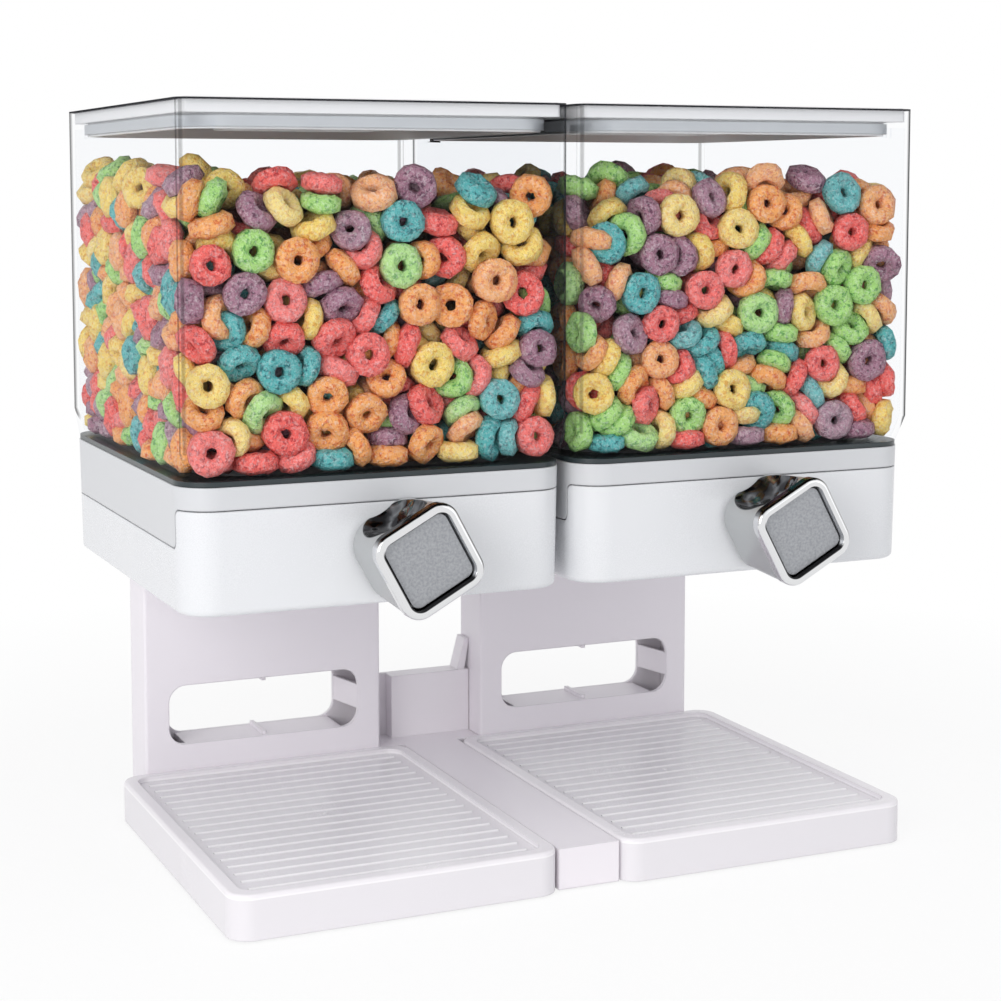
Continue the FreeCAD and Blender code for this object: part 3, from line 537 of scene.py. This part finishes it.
def neighbours(points, reach):
    # Pairs of points closer than reach, found on a grid of cells that size.
    cells = np.floor((points - points.min(0)) / reach).astype(np.int64) + 1
    span = cells.max(0) + 2
    key = (cells[:, 0] * span[1] + cells[:, 1]) * span[2] + cells[:, 2]
    order = np.argsort(key, kind="stable")
    ranked = key[order]
    firsts, seconds = [], []
    for dx in (-1, 0, 1):
        for dy in (-1, 0, 1):
            for dz in (-1, 0, 1):
                step = (dx * span[1] + dy) * span[2] + dz
                if step < 0:
                    continue
                start = np.searchsorted(ranked, ranked + step, "left")
                stop = np.searchsorted(ranked, ranked + step, "right")
                if step == 0:
                    start = np.maximum(start, np.arange(len(ranked)) + 1)
                amount = np.maximum(stop - start, 0)
                a = np.repeat(np.arange(len(ranked)), amount)
                skipped = np.concatenate(([0], np.cumsum(amount)[:-1]))
                b = np.repeat(start - skipped, amount) + np.arange(len(a))
                firsts.append(order[a])
                seconds.append(order[b])
    a = np.concatenate(firsts)
    b = np.concatenate(seconds)
    near = ((points[a] - points[b]) ** 2).sum(1) < reach * reach
    return a[near], b[near]


def keepInside(points, room, radius, size):
    # Moves ball centres inside the canister's walls, with corners that sharpen towards the top, and outside
    # the core that the layer of rings covers.
    height = np.clip((points[:, 2] - room["floor"]) / (room["top"] - room["floor"]), 0, 1)
    corner = room["lowRadius"] + (room["topRadius"] - room["lowRadius"]) * height
    for axis in (0, 1):
        limit = room["half"][axis] - radius
        points[:, axis] = np.clip(points[:, axis], -limit, limit)
    inner = np.abs(points[:, :2]) - (np.array(room["half"]) - corner[:, None])
    reach = np.hypot(inner[:, 0], inner[:, 1])
    over = (inner[:, 0] > 0) & (inner[:, 1] > 0) & (reach > corner - radius) & (corner > radius)
    pull = inner[over] * (1 - ((corner - radius) / np.maximum(reach, 1e-9))[over][:, None])
    points[over, :2] -= np.sign(points[over, :2]) * pull
    points[:, 2] = np.maximum(points[:, 2], room["floor"] + radius)
    # The core: a block inside the layer
    block = np.array([room["half"][0] - size["layer"], room["half"][1] - size["layer"]])
    roof = room["coreTop"]
    gap = np.stack([block[0] + radius - np.abs(points[:, 0]), block[1] + radius - np.abs(points[:, 1]),
                    roof + radius - points[:, 2]], 1)
    within = (gap > 0).all(1)
    way = gap.argmin(1)
    for axis in (0, 1):
        pick = within & (way == axis)
        points[pick, axis] += np.sign(points[pick, axis]) * gap[pick, axis]
    pick = within & (way == 2)
    points[pick, 2] += gap[pick, 2]


def settle(room, size, rng):
    # Rings as rigid groups of balls. They start small, so that few are linked, and grow. Each step pulls
    # them down, pushes touching balls apart, keeps them in the canister, and then fits each group with its
    # own ring shape again, by the best turn and shift.
    count, balls = size["count"], size["balls"]
    tube = size["tubeRadius"]
    around = np.arange(balls) * 2 * math.pi / balls
    orbit = size["ringRadius"] - tube
    shape = np.stack([orbit * np.cos(around), orbit * np.sin(around), 0 * around], 1)
    scale = 1 + size["sizeSpread"] * rng.uniform(-1, 1, count)
    # First places: spread through the layer, by its volume
    centre = np.empty((0, 3))
    half = np.array(room["half"]) - size["wallStart"]
    lowest = (-half[0], -half[1], room["floor"] + size["floorStart"])
    highest = (half[0], half[1], size["edgeTop"])
    while len(centre) < count:
        tries = rng.uniform(lowest, highest, (size["tries"], 3))
        beside = (np.abs(tries[:, :2]) > half - size["layer"] + size["thinner"]).any(1)
        over = tries[:, 2] > room["coreTop"] + size["coverStart"]
        over &= tries[:, 2] < size["fillTop"] - size["coverStart"]
        centre = np.concatenate([centre, tries[beside | over]])
    centre = centre[:count]
    spin, _ = np.linalg.qr(rng.normal(size=(count, 3, 3)))
    spin[np.linalg.det(spin) < 0, :, 0] *= -1
    full = shape[None] * scale[:, None, None]
    points = centre[:, None] + np.einsum("nij,nbj->nbi", spin, full * size["startSize"])
    flat = points.reshape(-1, 3)
    owner = np.repeat(np.arange(count), balls)
    steps = size["steps"]
    calm = steps * size["calmFrom"]
    moved = np.zeros_like(flat)
    for step in range(steps):
        grown = min(1.0, size["startSize"] + (1 - size["startSize"]) * step / (steps * size["growing"]))
        radius = tube * size["swelling"] * grown
        local = full * grown
        if step % size["relist"] == 0:
            a, b = neighbours(flat, 2 * radius + size["search"])
            other = owner[a] != owner[b]
            a, b = a[other], b[other]
        before = flat.copy()
        flat[:, 2] -= size["fall"] if step < calm else size["fall"] / 2
        flat += moved * size["carry"]
        for again in range(size["passes"]):
            apart = flat[a] - flat[b]
            distance = np.sqrt((apart ** 2).sum(1)) + 1e-9
            push = np.maximum(2 * radius - distance, 0) * size["push"]
            shift = apart * (push / distance)[:, None]
            for axis in range(3):
                given = np.bincount(a, shift[:, axis], len(flat))
                taken = np.bincount(b, shift[:, axis], len(flat))
                flat[:, axis] += given - taken
            keepInside(flat, room, radius, size)
            cloud = flat.reshape(count, balls, 3)
            centre = cloud.mean(1)
            spread = np.einsum("nbi,nbj->nij", cloud - centre[:, None], local)
            u, _, vt = np.linalg.svd(spread)
            flip = np.sign(np.linalg.det(u @ vt))
            u[:, :, 2] *= flip[:, None]
            spin = u @ vt
            flat[:] = (centre[:, None] + np.einsum("nij,nbj->nbi", spin, local)).reshape(-1, 3)
        moved = np.clip(flat - before, -size["fastest"], size["fastest"])
        if step > calm:
            moved *= size["calming"]
    overlap = np.maximum(2 * radius - np.sqrt(((flat[a] - flat[b]) ** 2).sum(1)), 0)
    print("rings settled:", count, "mean overlap mm", round(float(overlap.mean() * 1000), 3), "highest",
          round(float(flat[:, 2].max()), 4))
    return centre, spin, scale


def ringMesh(name, centre, spin, scale, room, size, rng):
    # One mesh of many rings. A ring is a torus with a flattened section: going round by angle u, the tube's
    # middle runs on a circle, and round the tube by angle v the section is a rounded box. Lumps vary its
    # size. Each point also keeps how deep it lies in the fill, from the nearest wall or from the top.
    turns, sections = size["turns"], size["sections"]
    u = np.arange(turns) * 2 * math.pi / turns
    v = (np.arange(sections) + 0.5) * 2 * math.pi / sections
    uu, vv = np.meshgrid(u, v, indexing="ij")
    many = len(centre)
    tube = size["tubeRadius"]
    orbit = size["ringRadius"] - tube
    uneven = rng.normal(size=(many, turns, sections)).clip(-size["lumpLimit"], size["lumpLimit"])
    lump = 1 + size["lumps"] * uneven
    lean = rng.uniform(-1, 1, (many, 1, 1))
    phase = rng.uniform(0, 6.28, (many, 1, 1))
    oval = 1 + size["oval"] * lean * np.cos(2 * (uu + phase))
    across = tube * lump * np.sign(np.cos(vv)) * np.abs(np.cos(vv)) ** size["roundness"]
    along = size["thickness"] / 2 * lump * np.sign(np.sin(vv)) * np.abs(np.sin(vv)) ** size["roundness"]
    path = orbit * oval + across
    level = np.stack([path * np.cos(uu), path * np.sin(uu), along + 0 * path], -1)
    points = np.einsum("nij,nuvj->nuvi", spin, level * scale[:, None, None, None]) + centre[:, None, None]
    i, j = np.meshgrid(np.arange(turns), np.arange(sections), indexing="ij")
    k = (i + 1) % turns
    m = (j + 1) % sections
    corners = [i * sections + j, k * sections + j, k * sections + m, i * sections + m]
    quad = np.stack(corners, -1).reshape(-1, 4)
    faces = (quad[None] + (np.arange(many) * turns * sections)[:, None, None]).reshape(-1, 4)
    mesh = bpy.data.meshes.new(name)
    mesh.vertices.add(many * turns * sections)
    mesh.vertices.foreach_set("co", points.astype(np.float32).ravel())
    mesh.loops.add(faces.size)
    mesh.loops.foreach_set("vertex_index", faces.astype(np.int32).ravel())
    mesh.polygons.add(len(faces))
    mesh.polygons.foreach_set("loop_start", (np.arange(len(faces)) * 4).astype(np.int32))
    mesh.update()
    mesh.validate()
    mesh.shade_smooth()
    tone = mesh.attributes.new("tone", "FLOAT", "POINT")
    tone.data.foreach_set("value", np.repeat(rng.uniform(0, 1, many), turns * sections).astype(np.float32))
    fromWall = (np.array(room["half"]) - np.abs(points[..., :2] - np.array(room["middle"]))).min(-1)
    depth = np.minimum(fromWall, np.maximum(size["fillTop"] + size["deepFrom"] - points[..., 2], 0))
    deep = mesh.attributes.new("deep", "FLOAT", "POINT")
    deep.data.foreach_set("value", depth.astype(np.float32).ravel())
    piece = bpy.data.objects.new(name, mesh)
    bpy.context.scene.collection.objects.link(piece)
    return piece


crust = {
    "freckleScale": 430.0,
    "freckleRange": (0.51, 0.62),
    "patchScale": 150.0,
    "patchRange": (0.5, 0.8),
    "patchShare": 0.3,
    "toneShare": 0.08,           # how much darker the darkest ring is
    "dustScale": 700.0,
    "dustRange": (0.48, 0.72),
    "dustGain": 3.2,
    "dustWhite": 0.95,
    "dustShare": 0.62,           # how far the dusted tone lies towards that white
    "shade": (0.02, 0.007, 0.005),
    "shadeRange": (0.007, 0.0165),  # metres into the fill over which the shade deepens
    "shadeShare": 0.90,
    "depth": 0.0017,
    "gloss": 0.5,
}
crumb = {
    "cellScale": 85.0,
    "tone": (0.07, 0.025, 0.015),
    "toneShare": 0.86,
    "shade": (0.008, 0.004, 0.003),
    "shadeRange": (0.2, 0.6),
    "shadeShare": 0.95,
    "depth": 0.004,
    "gloss": 0.8,
}


def cerealCoat(name, light, dark, dustShare):
    # Baked, sugar-dusted crust: tone differs from ring to ring, with darker freckles and pale grains of
    # sugar. Painted shade darkens it with its depth in the fill.
    f = Finish(name)
    where = f.place()
    tone = f.add("ShaderNodeAttribute", {"attribute_name": "tone"}, output="Fac")
    freckle = f.noise(where, crust["freckleScale"], 3.0, 0.75)
    patch = f.noise(where, crust["patchScale"])
    dust = f.noise(where, crust["dustScale"], 2.0, 0.8)
    base = f.blend(f.remap(freckle, *crust["freckleRange"], 0.0, 1.0), light + (1,), dark + (1,))
    darker = f.remap(patch, *crust["patchRange"], 0.0, crust["patchShare"]) + tone * crust["toneShare"]
    base = f.blend(darker, base, dark + (1,))
    pale = tuple(c + (crust["dustWhite"] - c) * crust["dustShare"] for c in light) + (1,)
    dusted = f.remap(dust, *crust["dustRange"], 0.0, dustShare * crust["dustGain"])
    base = f.blend(dusted + f.remap(tone, 0.0, 0.5, dustShare, 0.0), base, pale)
    deep = f.add("ShaderNodeAttribute", {"attribute_name": "deep"}, output="Fac")
    # Painted shade: the deeper a point lies in the fill, the darker it is
    shaded = f.remap(deep, *crust["shadeRange"], 0.0, crust["shadeShare"])
    base = f.blend(shaded, base, crust["shade"] + (1,))
    rough = crust["gloss"] + (dust - 0.5) * 0.3
    normal = f.bump(freckle + dust * 0.6, crust["depth"])
    return f.done(f.surface(Base_Color=base, Roughness=rough, Normal=normal))


coats = {name: cerealCoat("cereal" + name, *look[:3]) for name, look in cerealColours.items()}


def crumbCore(name):
    # The unseen heart of the fill, coloured as rings in deep shade.
    f = Finish(name)
    cells = {"Vector": f.place(), "Scale": crumb["cellScale"]}
    cell = f.add("ShaderNodeTexVoronoi", {}, cells, output="Color")
    depth = f.add("ShaderNodeTexVoronoi", {}, cells, output="Distance")
    base = f.blend(crumb["toneShare"], cell, crumb["tone"] + (1,))
    shaded = f.remap(depth, *crumb["shadeRange"], 0.0, crumb["shadeShare"])
    base = f.blend(shaded, base, crumb["shade"] + (1,))
    normal = f.bump(1 - depth, crumb["depth"])
    return f.done(f.surface(Base_Color=base, Roughness=crumb["gloss"], Normal=normal))


coreFinish = crumbCore("cerealCore")


def roundedBlock(name, half, low, high, look):
    # A closed block with round upright corners. Its outline at each height is the rounded rectangle, worked
    # out by angle: the corner's middle, and the radius from there. Floor and top close on one point each.
    turns, radius = look["turns"], look["radius"]
    around = np.arange(turns)
    after = (around + 1) % turns
    angle = around * 2 * math.pi / turns
    shrink = np.array([half[0] - radius, half[1] - radius])
    way = np.stack([np.cos(angle), np.sin(angle)], 1)
    edge = np.sign(np.round(way, look["digits"])) * shrink + way * radius
    level = np.linspace(low, high, look["rows"])
    outlines = [(look["cap"], low)] + [(1.0, z) for z in level] + [(look["cap"], high)]
    rings = [np.concatenate([edge * size, np.full((turns, 1), z)], 1) for size, z in outlines]
    points = np.concatenate(rings + [[(0, 0, low), (0, 0, high)]])
    i, j = np.meshgrid(np.arange(len(rings) - 1), around, indexing="ij")
    k = (j + 1) % turns
    walls = np.stack([i, i, i + 1, i + 1], -1) * turns + np.stack([j, k, k, j], -1)
    last = (len(rings) - 1) * turns
    floor = np.stack([0 * around + len(points) - 2, after, around], 1)
    roof = np.stack([0 * around + len(points) - 1, last + around, last + after], 1)
    mesh = bpy.data.meshes.new(name)
    faces = walls.reshape(-1, 4).tolist() + floor.tolist() + roof.tolist()
    mesh.from_pydata(points.tolist(), [], faces)
    mesh.update()
    piece = bpy.data.objects.new(name, mesh)
    bpy.context.scene.collection.objects.link(piece)
    return piece


def fillCanister(side, rng):
    # Settles the rings, makes one mesh of each colour, and sets the core inside them.
    room = canisterInside(side)
    room["coreTop"] = cereal["fillTop"] - cereal["layer"]
    centre, spin, scale = settle(room, cereal, rng)
    centre = centre + np.array([room["middle"][0], room["middle"][1], 0.0])
    shares = np.array([look[3] for look in cerealColours.values()])
    colour = rng.choice(len(coats), len(centre), p=shares / shares.sum())
    for index, (name, coat) in enumerate(coats.items()):
        pick = colour == index
        piece = ringMesh(side + "Cereal" + name, centre[pick], spin[pick], scale[pick], room, cereal, rng)
        piece.data.materials.append(coat)
        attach(piece, side + "_canister")
    inset = cereal["layer"] - coreShape["under"]
    core = roundedBlock(side + "CerealCore", (room["half"][0] - inset, room["half"][1] - inset),
                        room["floor"] + coreShape["gap"], room["coreTop"] - coreShape["gap"], coreShape)
    core.data.transform(Matrix.Translation((room["middle"][0], room["middle"][1], 0)))
    core.data.materials.append(coreFinish)
    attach(core, side + "_canister")


random = np.random.default_rng(cereal["seed"])
for side in sides:
    fillCanister(side, random)
print("canisters filled:", len(sides))


# Floor, light and camera

studio = {
    "floor": (0.96, 0.96, 0.965),
    "floorSize": 80,
    "speckScale": 40.0,
    "speck": 0.985,              # how bright the floor's specks are beside it
    "nearWhite": 0.84,           # share of plain white in the floor beside the object, under its shadow
    "shadowRange": (0.30, 0.6),  # metres from the middle over which the floor turns plain white
    "cloth": (0.004, 0.004, 0.004),
    "clothShade": (0.007, 0.007, 0.007),
    "weaveScale": 30.0,
    "matt": 0.9,
    "sky": (0.92, 0.93, 0.95),
    "skyStrength": 0.60,
    "lamps": {
        "keySoftbox": ((-1.35, -1.15, 0.70), (0.0, 0.0, 0.08), 1.0, 14.0, (1.0, 0.99, 0.98)),
        "fillSoftbox": ((1.2, -1.5, 0.4), (0.0, 0.0, 0.10), 1.2, 2.0, (0.96, 0.97, 1.0)),
        "topSoftbox": ((0.0, -0.6, 2.1), (0.0, 0.0, 0.2), 1.6, 11.0, (1.0, 1.0, 1.0)),
    },
    "flags": {
        # Black boards that only polished metal mirrors: middle, width and depth
        "ceilingFlag": ((0.0, -0.35, 1.5), 2.6, 1.9),
    },
}
eye = {
    "place": (-0.39485, -0.8869, 0.30666),
    "azimuth": 24.07,
    "pitch": 5.14,
    "lens": 74.375,
    "shiftY": -0.13,
    "sensor": 36.0,
}


def seenDirectly(f):
    # 1 for the camera's rays and for what shiny and clear surfaces show, 0 for light that falls on things.
    path = f.add("ShaderNodeLightPath", output="Is Camera Ray")
    rest = [Wire(f, path.socket.node.outputs[name]) for name in ("Is Glossy Ray", "Is Transmission Ray")]
    return path.above(rest[0]).above(rest[1])


def paleFloor():
    # Plain white far off, and a matt floor near the object that takes its shadow.
    f = Finish("paleFloor")
    where = f.place()
    speck = f.noise(where, studio["speckScale"], 3.0)
    darker = tuple(c * studio["speck"] for c in studio["floor"]) + (1,)
    base = f.blend(speck, studio["floor"] + (1,), darker)
    far = f.remap(f.distance(where, (0, 0, 0)), *studio["shadowRange"], studio["nearWhite"], 1.0)
    white = f.add("ShaderNodeEmission", {}, {"Color": (1, 1, 1, 1), "Strength": 1.0})
    matt = f.surface(Base_Color=base, Roughness=studio["matt"])
    return f.done(f.add("ShaderNodeMixShader", {}, {0: far * seenDirectly(f), 1: matt, 2: white}))


def levelBoard(name, middle, width, depth, finish):
    # A level board of the studio.
    mesh = bpy.data.meshes.new(name)
    x, y, z = middle
    left, right, front, back = x - width / 2, x + width / 2, y - depth / 2, y + depth / 2
    corners = [(left, front, z), (right, front, z), (right, back, z), (left, back, z)]
    mesh.from_pydata(corners, [], [(0, 1, 2, 3)])
    board = bpy.data.objects.new(name, mesh)
    bpy.context.scene.collection.objects.link(board)
    mesh.materials.append(finish)
    return board


levelBoard("studioFloor", (0, 0, 0), studio["floorSize"], studio["floorSize"], paleFloor())
black = Finish("blackCloth")
weave = black.noise(black.place(), studio["weaveScale"])
cloth = black.blend(weave, studio["cloth"] + (1,), studio["clothShade"] + (1,))
blackCloth = black.done(black.surface(Base_Color=cloth, Roughness=studio["matt"]))
for name, (middle, width, depth) in studio["flags"].items():
    board = levelBoard(name, middle, width, depth, blackCloth)
    board.visible_camera = False
    board.visible_diffuse = False
    board.visible_shadow = False
    board.visible_transmission = False

sky = Finish("studioSky", bpy.data.worlds.new("studioSky"))
bpy.context.scene.world = sky.owner
soft = sky.add("ShaderNodeBackground", {},
               {"Color": studio["sky"] + (1,), "Strength": studio["skyStrength"]})
plain = sky.add("ShaderNodeBackground", {}, {"Color": (1, 1, 1, 1), "Strength": 1.0})
either = sky.add("ShaderNodeMixShader", {}, {0: seenDirectly(sky), 1: soft, 2: plain})
sky.add("ShaderNodeOutputWorld", {}, {"Surface": either})

for name, (place, target, width, power, colour) in studio["lamps"].items():
    lamp = bpy.data.lights.new(name, "AREA")
    lamp.size = width
    lamp.energy = power
    lamp.color = colour
    thing = bpy.data.objects.new(name, lamp)
    bpy.context.scene.collection.objects.link(thing)
    thing.location = place
    thing.rotation_euler = (Vector(target) - Vector(place)).to_track_quat("-Z", "Y").to_euler()

lens = bpy.data.cameras.new("photoView")
lens.lens = eye["lens"]
lens.sensor_width = eye["sensor"]
lens.shift_y = eye["shiftY"]
camera = bpy.data.objects.new("photoView", lens)
bpy.context.scene.collection.objects.link(camera)
camera.location = eye["place"]
camera.rotation_euler = (math.radians(90 - eye["pitch"]), 0, -math.radians(eye["azimuth"]))
bpy.context.scene.camera = camera
bpy.context.scene.view_settings.view_transform = "Standard"
print("studio ready")
